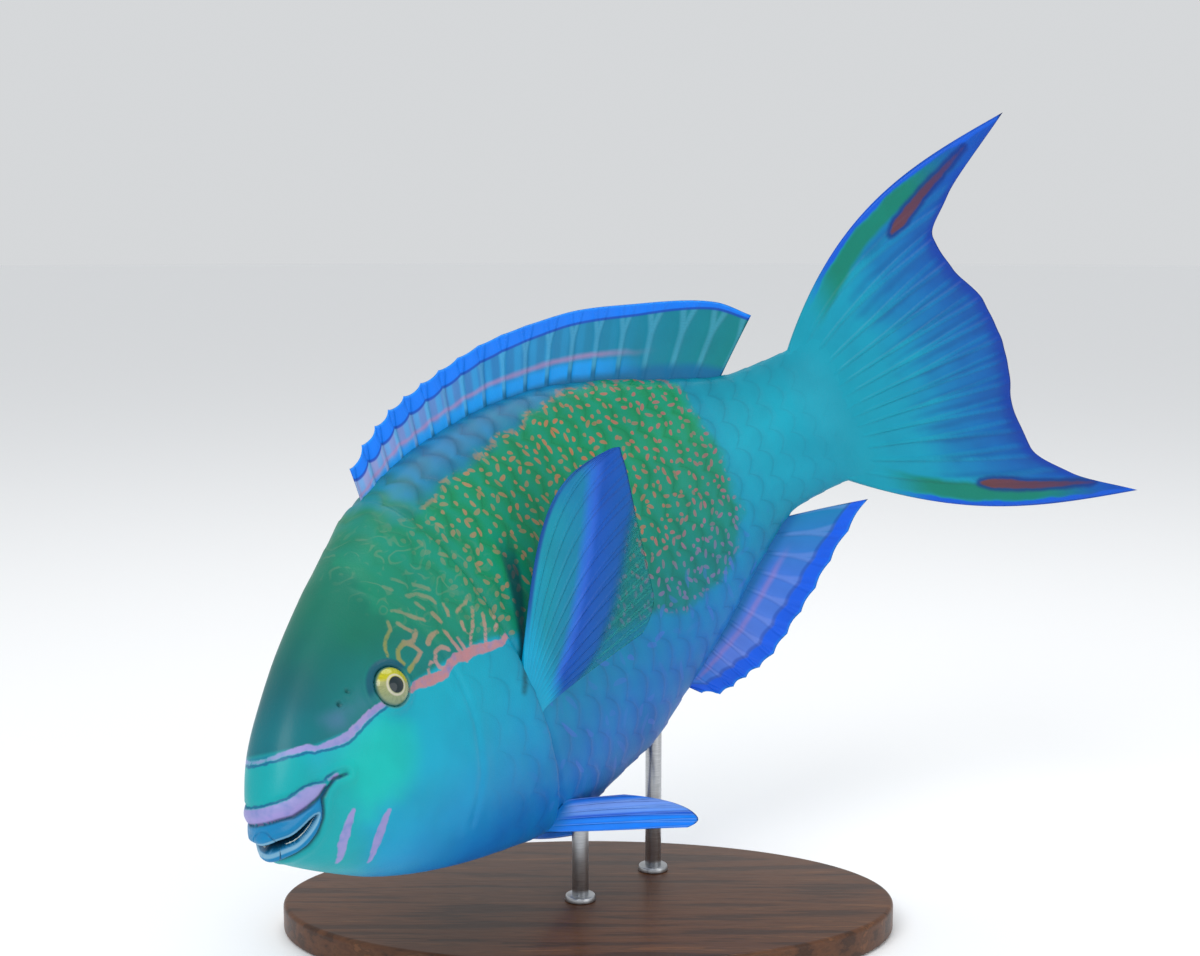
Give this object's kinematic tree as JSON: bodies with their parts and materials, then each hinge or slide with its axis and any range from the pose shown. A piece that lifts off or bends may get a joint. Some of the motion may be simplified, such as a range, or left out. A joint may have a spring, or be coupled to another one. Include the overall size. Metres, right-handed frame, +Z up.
{
  "type": "parrotfish display model",
  "caption": "Life-size model of a deep-bodied parrotfish, nosing down and turning left with its fins spread, held by two rods over a flat oval base.",
  "frame": {"origin": "centre of the oval base's underside", "axes": "+Z up, +X along the base's long axis towards the end over which the tail stands, +Y away from the side that the head faces"},
  "size_m": [0.4828, 0.285, 0.4389],
  "materials": {
    "skin": "painted skin in blue-green with fine scales, satin",
    "fin": "thin painted fin membrane over rays, satin, slightly clear",
    "eye": "wet, clear over a yellow-green iris and a dark pupil",
    "beak": "pale blue-white tooth plates, smooth",
    "stand_wood": "dark oiled wood",
    "stand_rod": "brushed steel rod"
  },
  "bodies": {
    "root": {"head": "skin", "torso": "skin", "tail_stalk": "skin", "beak_upper": "beak", "beak_lower": "beak", "eye_left": "eye", "eye_right": "eye", "fin_pectoral_left": "fin", "fin_pectoral_right": "fin", "fin_pelvic_left": "fin", "fin_pelvic_right": "fin", "fin_dorsal": "fin", "fin_anal": "fin", "fin_tail": "fin", "stand_base": "stand_wood", "stand_rod_front": "stand_rod", "stand_rod_rear": "stand_rod"}
  },
  "joints": []
}
